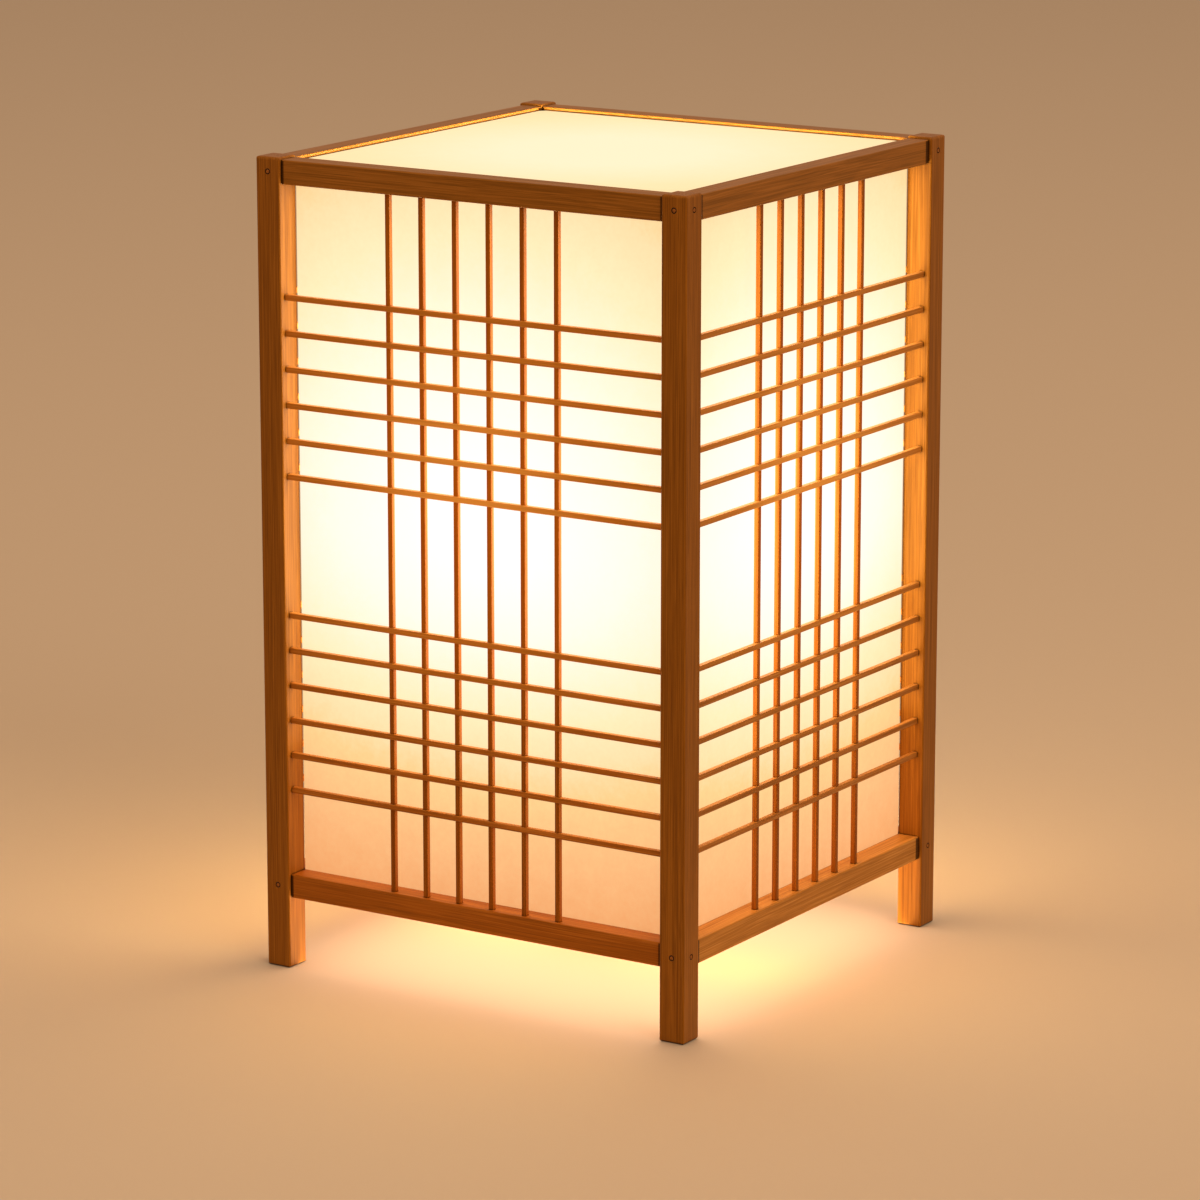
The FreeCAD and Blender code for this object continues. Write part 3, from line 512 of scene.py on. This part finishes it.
def glazed_steatite():
    """Pressed steatite with a clear glaze.

    To the eye: off-white, glossy and gently uneven, with sparse tan specks under the glaze.
    """
    material, tree, shader = new_material("glazed_steatite")
    place = add(tree, "TexCoord").outputs["Object"]
    specks = add(tree, "TexNoise", {"Vector": place, "Scale": 1 / (0.6 * MM), "Detail": 1.0}).outputs["Fac"]
    waves = add(tree, "TexNoise", {"Vector": place, "Scale": 1 / (3 * MM)}).outputs["Fac"]
    stops = ((0.22, "#C9B697"), (0.30, "#E9E4D8"), (0.8, "#EFEBE1"))
    surface(tree, shader, specks, stops, waves, (0.10, 0.18), 0.04)
    return material


def lit_opal_dome():
    """Polycarbonate with a white filler, blow moulded, lit from inside.

    To the eye: a soft warm white glow, a little deeper towards the rim, on a satin skin.
    """
    material, tree, shader = new_material("lit_opal_dome")
    low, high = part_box("bulb_diffuser")
    place = add(tree, "TexCoord").outputs["Object"]
    height = add(tree, "SeparateXYZ", {"Vector": place}).outputs["Z"]
    level = add(tree, "MapRange", {"Value": height, "From Min": low.z, "From Max": high.z}).outputs["Result"]
    ramp = add(tree, "ValToRGB", {"Fac": level})
    set_ramp(ramp, ((0.0, "#F7DCA8"), (0.35, "#FBEBC8"), (0.8, "#FFF6E0")))
    tree.links.new(ramp.outputs["Color"], shader["Emission Color"])
    shader["Emission Strength"].default_value = 1.0
    filler = add(tree, "TexNoise", {"Vector": place, "Scale": 1 / (0.5 * MM), "Detail": 2.0}).outputs["Fac"]
    surface(tree, shader, filler, ((0.3, "#DDD6C8"), (0.7, "#E9E3D6")), filler, (0.38, 0.5), 0.02)
    return material


def lit_phosphor():
    """Silicone filled with phosphor, poured over the lit chips.

    To the eye: grainy yellow, soft and glowing.
    """
    material, tree, shader = new_material("lit_phosphor")
    place = add(tree, "TexCoord").outputs["Object"]
    grains = add(tree, "TexNoise", {"Vector": place, "Scale": 1 / (0.2 * MM), "Detail": 2.0}).outputs["Fac"]
    surface(tree, shader, grains, ((0.3, "#D9B33E"), (0.7, "#F0D266")), grains, (0.3, 0.45), 0.02)
    shader["Emission Color"].default_value = linear("#FFE7A2")
    shader["Emission Strength"].default_value = 1.0
    return material


def white_mask_board():
    """Aluminium board screen printed with white solder mask.

    To the eye: satin white with a slight orange peel.
    """
    material, tree, shader = new_material("white_mask_board")
    place = add(tree, "TexCoord").outputs["Object"]
    peel = add(tree, "TexNoise", {"Vector": place, "Scale": 1 / (0.5 * MM)}).outputs["Fac"]
    wash = add(tree, "TexNoise", {"Vector": place, "Scale": 1 / (8 * MM), "Detail": 2.0}).outputs["Fac"]
    surface(tree, shader, wash, ((0.3, "#D6D6D0"), (0.7, "#E2E2DC")), peel, (0.32, 0.46), 0.03)
    return material


def glass_weave_laminate():
    """Glass cloth and epoxy laminate under green solder mask.

    To the eye: glossy green with the weave as a fine check. The threads are drawn 0.8 mm apart, twice as far
    as real ones, so that they show.
    """
    material, tree, shader = new_material("glass_weave_laminate")
    place = add(tree, "TexCoord").outputs["Object"]
    threads = [
        add(tree, "TexWave", {
            "Vector": place, "Scale": math.pi / (10 * 0.8 * MM), "Distortion": 0.0},
            bands_direction=axis).outputs["Fac"]
        for axis in "YZ"]
    weave = add(tree, "Math", {0: threads[0], 1: threads[1]}, operation="MULTIPLY").outputs[0]
    surface(tree, shader, weave, ((0.0, "#24502D"), (1.0, "#34683C")), weave, (0.3, 0.2), 0.02)
    return material


def grain_axis(name):
    """The axis along which a bamboo piece's fibres run, from its name."""
    if name.startswith(("post", "upright", "corner")):
        return "Z"
    if name.endswith(("front", "back")) or name == "cross_bar":
        return "X"
    return "Y"


def dress_wood():
    """Give each bamboo piece the tone of its kind, with the grain along it."""
    woods = {}
    for part in frame["record"]["subparts"]:
        name = part["node"]
        kinds = [kind for kind in TONES if name.startswith(kind)]
        if not kinds:
            continue
        kind, along = kinds[0], grain_axis(name)
        if (kind, along) not in woods:
            glow = next((stops for slats, stops in SLAT_GLOW.items() if kind.startswith(slats)), None)
            woods[kind, along] = carbonised_bamboo(
                f"carbonised_bamboo_{kind}_{along.lower()}", along, TONES[kind],
                kind.startswith("rail"), glow)
        frame["nodes"][name].material_slots[0].material = woods[kind, along]


def dress_rest():
    """Finishes of the sheets, the holder and the bulb, by their slots."""
    side_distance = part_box("side_sheet_right")[1].x
    top_distance = (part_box("top_sheet")[1].z - GLOW_HEIGHT) * GLOW_STRETCH_ABOVE
    finishes = {
        "side_sheet": glowing_sheet("side_sheet_lit", SIDE_GLOW, side_distance),
        "top_sheet": glowing_sheet("top_sheet_lit", TOP_GLOW, top_distance),
        "plated_steel": zinc_plated_steel(),
        "brass": pressed_brass(),
        "nickel": nickel_plate(),
        "black_plastic": moulded_plastic("moulded_black_nylon", "#161514", "#201F1D", (0.42, 0.56)),
        "holder_plastic": moulded_plastic("moulded_cream_polyester", "#DAD2BF", "#E6DFCE", (0.34, 0.48)),
        "holder_ceramic": glazed_steatite(),
        "bulb_opal": lit_opal_dome(),
        "bulb_white": moulded_plastic("moulded_white_polycarbonate", "#E2DFD7", "#ECE9E2", (0.28, 0.40)),
        "board_aluminium": white_mask_board(),
        "led_phosphor": lit_phosphor(),
        "board_laminate": glass_weave_laminate(),
    }
    for part in frame["record"]["subparts"]:
        if part["material_slot"] in finishes:
            frame["nodes"][part["node"]].material_slots[0].material = finishes[part["material_slot"]]


def finish_piece(name, bm, materials, body, slot, *nodes):
    """Turn a bmesh into a piece of the lamp that rides on a body and stands for CAD nodes."""
    mesh = bpy.data.meshes.new(name)
    bm.to_mesh(mesh)
    bm.free()
    for material in materials:
        mesh.materials.append(material)
    piece = bpy.data.objects.new(name, mesh)
    bpy.context.scene.collection.objects.link(piece)
    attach(piece, body)
    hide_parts(*nodes)


def make_pegs():
    """Peg ends on the posts: each a flush disc inside a thin dark joint line."""
    materials = [bamboo_end_grain(), joint_line()]
    for level in ("top", "bottom"):
        low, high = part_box("pegs_" + level)
        radius = (high.z - low.z) / 2
        height = (high.z + low.z) / 2
        bm = bmesh.new()
        for corner in CORNERS:
            low_post, high_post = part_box("post_" + corner)
            middle = (low_post + high_post) / 2
            outwards = (
                Vector((math.copysign(1, middle.x), 0, 0)),
                Vector((0, math.copysign(1, middle.y), 0)))
            for direction in outwards:
                face = Vector((middle.x, middle.y, height))
                axis = 0 if direction.x else 1
                face[axis] = math.copysign(high.x, middle[axis])
                turn = direction.to_track_quat("Z", "X").to_matrix().to_4x4()
                seat = Matrix.Translation(face - direction * (PEG_LENGTH / 2 + PEG_RIM_DEPTH)) @ turn
                made = bmesh.ops.create_cone(
                    bm, cap_ends=True, segments=PEG_SIDES, radius1=radius, radius2=radius,
                    depth=PEG_LENGTH, matrix=seat)
                faces = {f for v in made["verts"] for f in v.link_faces}
                ends = [f for f in faces if len(f.verts) == PEG_SIDES]
                end = max(ends, key=lambda f: f.normal.dot(direction))
                rim = bmesh.ops.inset_region(
                    bm, faces=[end], thickness=PEG_RIM, depth=PEG_RIM_DEPTH, use_even_offset=True)
                for f in rim["faces"]:
                    f.material_index = 1
        finish_piece("peg_ends_" + level, bm, materials, "lamp_frame", "bamboo_peg", "pegs_" + level)


def cut_level(bm, level, keep):
    """Cut a bmesh level and keep what lies above (1) or below (-1): the cut's edges."""
    cut = bmesh.ops.bisect_plane(
        bm, geom=bm.verts[:] + bm.edges[:] + bm.faces[:], dist=WELD / 10, plane_co=(0, 0, level),
        plane_no=(0, 0, keep), clear_inner=True)
    return [made for made in cut["geom_cut"] if isinstance(made, bmesh.types.BMEdge)]


def wind_thread(bm, wave, pitch, bottom, top):
    """Wind a right-handed thread about the lamp's axis, cut level at both ends.

    wave is the outline of one pitch, as radii and shares of the pitch from the bottom up. The waves are
    counted from the floor, so that threads of one pitch fit each other.
    """
    outline = [
        bm.verts.new((radius, 0, pitch * (turn + share)))
        for turn in range(
            math.floor(bottom / pitch) - THREAD_SPARE, math.ceil(top / pitch) + THREAD_SPARE)
        for radius, share in wave]
    edges = [bm.edges.new(pair) for pair in zip(outline, outline[1:])]
    bmesh.ops.spin(
        bm, geom=outline + edges, axis=(0, 0, 1), dvec=(0, 0, pitch / THREAD_STEPS), angle=math.tau,
        steps=THREAD_STEPS)
    bmesh.ops.remove_doubles(bm, verts=bm.verts, dist=WELD)
    cut_level(bm, bottom, 1)
    cut_level(bm, top, -1)
    bmesh.ops.remove_doubles(bm, verts=bm.verts, dist=WELD)


def open_edge(bm, level):
    """The edges of the open end of a tube at one level."""
    return [e for e in bm.edges if e.is_boundary and all(abs(v.co.z - level) < WELD for v in e.verts)]


def draw_out(bm, level, *circles):
    """Carry a tube on from its open end at one level, through circles of (radius, height)."""
    for radius, height in circles:
        for made in bmesh.ops.extrude_edge_only(bm, edges=open_edge(bm, level))["geom"]:
            if isinstance(made, bmesh.types.BMVert):
                made.co = Vector((made.co.x, made.co.y, 0)).normalized() * radius + Vector((0, 0, height))
        level = height


def rolled_wave(gap):
    """One wave of the bulb's thread, as far outside the cap's as the gap says."""
    low, high = BULB_THREAD
    shares = [i / ROLLED_POINTS for i in range(ROLLED_POINTS)]
    return [((low + high + (high - low) * math.cos(math.tau * share)) / 2 + gap, share) for share in shares]


def stand_for(node, name, bm, body):
    """Finish a bmesh as the piece that stands for one CAD node, in that node's material."""
    for f in bm.faces:
        f.smooth = True
    for e in bm.edges:
        e.smooth = e.calc_face_angle(0) < CREASE
    slot = next(part["material_slot"] for part in frame["record"]["subparts"] if part["node"] == node)
    finish_piece(name, bm, [frame["nodes"][node].material_slots[0].material], body, slot, node)


def make_cap():
    """The bulb's cap: sheet metal with a rolled thread, a narrow mouth below and a plain collar above."""
    low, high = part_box("bulb_cap")
    bm = bmesh.new()
    wind_thread(bm, rolled_wave(0), BULB_PITCH, *CAP_THREAD)
    draw_out(bm, CAP_THREAD[0], (CAP_MOUTH, low.z))
    draw_out(bm, CAP_THREAD[1], (high.x, CAP_COLLAR), (high.x, high.z))
    bmesh.ops.recalc_face_normals(bm, faces=bm.faces)
    bmesh.ops.solidify(bm, geom=bm.faces, thickness=CAP_WALL)
    stand_for("bulb_cap", "threaded_cap", bm, "bulb")


def make_screw_shell():
    """The holder's shell: sheet metal with the same rolled thread, in which the cap's ridges run."""
    low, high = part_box("screw_shell")
    mouth = high.x - SHELL_WALL
    bm = bmesh.new()
    wind_thread(bm, rolled_wave(BULB_THREAD_GAP), BULB_PITCH, *SHELL_THREAD)
    draw_out(bm, SHELL_THREAD[0], (mouth, low.z))
    draw_out(bm, SHELL_THREAD[1], (mouth, high.z))
    bmesh.ops.recalc_face_normals(bm, faces=bm.faces)
    bmesh.ops.solidify(bm, geom=bm.faces, thickness=SHELL_WALL)
    stand_for("screw_shell", "threaded_shell", bm, "lamp_frame")


def make_housing():
    """The bulb's housing, with its spigot cut off above the cap's thread."""
    bm = bmesh.new()
    bm.from_mesh(frame["nodes"]["bulb_housing"].data)
    bmesh.ops.remove_doubles(bm, verts=bm.verts, dist=WELD)
    bmesh.ops.bridge_loops(bm, edges=cut_level(bm, CAP_COLLAR, 1))
    bmesh.ops.recalc_face_normals(bm, faces=bm.faces)
    stand_for("bulb_housing", "housing_on_cap", bm, "bulb")


def make_nipple():
    """The steel nipple: a tube with a fine cut thread and chamfered ends."""
    low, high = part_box("nipple")
    root = high.x - NIPPLE_THREAD_DEPTH
    wave = ((root, 0.0), (root, CUT_FLAT), (high.x, 0.5), (high.x, 0.5 + CUT_FLAT))
    ends = (low.z + NIPPLE_CHAMFER, high.z - NIPPLE_CHAMFER)
    bm = bmesh.new()
    wind_thread(bm, wave, NIPPLE_PITCH, *ends)
    draw_out(bm, ends[0], (root, low.z), (NIPPLE_BORE, low.z))
    draw_out(bm, ends[1], (root, high.z), (NIPPLE_BORE, high.z))
    bmesh.ops.bridge_loops(bm, edges=open_edge(bm, low.z) + open_edge(bm, high.z))
    bmesh.ops.recalc_face_normals(bm, faces=bm.faces)
    stand_for("nipple", "threaded_nipple", bm, "lamp_frame")


def area_light(name, place, facing, size, power, code, lit_only=None):
    """A rectangular light of (width, height) that shines along a direction.

    With lit_only, a collection, it lights those pieces alone.
    """
    data = bpy.data.lights.new(name, "AREA")
    data.shape = "RECTANGLE"
    data.size, data.size_y = size
    data.energy = power
    data.color = linear(code)[:3]
    lamp = bpy.data.objects.new(name, data)
    turn = Vector(facing).to_track_quat("-Z", "Y").to_matrix().to_4x4()
    lamp.matrix_world = Matrix.Translation(place) @ turn
    bpy.context.scene.collection.objects.link(lamp)
    if lit_only:
        lamp.light_linking.receiver_collection = lit_only
    return lamp


def light_bulb_glow(floor):
    """The bulb's light beyond what the sheets themselves show: on the wood near them and on the floor."""
    wood = bpy.data.collections.new("lit_wood")
    for part in frame["record"]["subparts"]:
        if part["material_slot"].startswith("bamboo"):
            wood.objects.link(frame["nodes"][part["node"]])
    ground = bpy.data.collections.new("lit_ground")
    ground.objects.link(floor)
    low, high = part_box("side_sheet_front")
    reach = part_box("side_sheet_right")[1].x + GLOW_GAP
    width = high.x - low.x - GLOW_INSET
    glows = []
    for index, face in enumerate(FACES):
        turn = math.radians(90 * index)
        outwards = Vector((math.sin(turn), -math.cos(turn), 0))
        bands = [(f"glow_{face}_{level}", *band, wood) for level, band in GLOW_BANDS.items()]
        bands.append(("spill_" + face, *SPILL_BAND, SPILL_POWER[face], SPILL_COLOUR, ground))
        for name, bottom, top, power, code, lit_only in bands:
            place = outwards * reach + Vector((0, 0, (bottom + top) / 2))
            glows.append(area_light(name, place, outwards, (width, top - bottom), power, code, lit_only))
    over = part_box("top_sheet")[1].z + GLOW_GAP
    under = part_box("cross_bar")[0].z - 2 * GLOW_GAP
    for name, height, upwards, side, (power, code), lit_only in (
            ("glow_top", over, 1, width, TOP_LIGHT, wood),
            ("glow_floor", FLOOR_LIGHT_HEIGHT, 1, FLOOR_LIGHT_SIDE, FLOOR_LIGHT, wood),
            ("glow_under", under, -1, UNDER_LIGHT_SIDE, UNDER_LIGHT, ground)):
        place = Vector((0, 0, height))
        glows.append(area_light(name, place, (0, 0, upwards), (side, side), power, code, lit_only))
    for lamp in glows:
        lamp.visible_camera = False
        lamp.visible_glossy = False


def make_stage():
    """Pale floor, ambient light and three soft studio lights."""
    bm = bmesh.new()
    bmesh.ops.create_circle(bm, cap_ends=True, segments=FLOOR_SIDES, radius=FLOOR_RADIUS)
    mesh = bpy.data.meshes.new("floor")
    bm.to_mesh(mesh)
    bm.free()
    floor = bpy.data.objects.new("floor", mesh)
    bpy.context.scene.collection.objects.link(floor)
    material, _, shader = new_material("pale_floor")
    shader["Base Color"].default_value = linear(FLOOR_COLOUR)
    shader["Roughness"].default_value = FLOOR_ROUGHNESS
    mesh.materials.append(material)

    world = bpy.data.worlds.new("studio")
    bpy.context.scene.world = world
    world.use_nodes = True
    world.node_tree.nodes["Background"].inputs["Color"].default_value = linear(BACKDROP_COLOUR)

    for name, (place, side, power, code) in SOFTBOXES.items():
        area_light("softbox_" + name, place, SOFTBOX_TARGET - place, (side, side), power, code)
    return floor


def make_camera():
    """A long lens, in front of the lamp, to its right and above it."""
    data = bpy.data.cameras.new("camera")
    data.lens = FOCAL_LENGTH
    data.sensor_width = SENSOR_WIDTH
    data.clip_start = CLIP_NEAR
    data.clip_end = CLIP_FAR
    camera = bpy.data.objects.new("camera", data)
    camera.location = CAMERA_PLACE
    camera.rotation_euler = (math.radians(90 - CAMERA_TILT), 0, math.radians(CAMERA_TURN))
    bpy.context.scene.collection.objects.link(camera)
    bpy.context.scene.camera = camera


dress_wood()
dress_rest()
make_pegs()
make_cap()
make_screw_shell()
make_housing()
make_nipple()
light_bulb_glow(make_stage())
make_camera()
bpy.context.scene.view_settings.view_transform = "Standard"
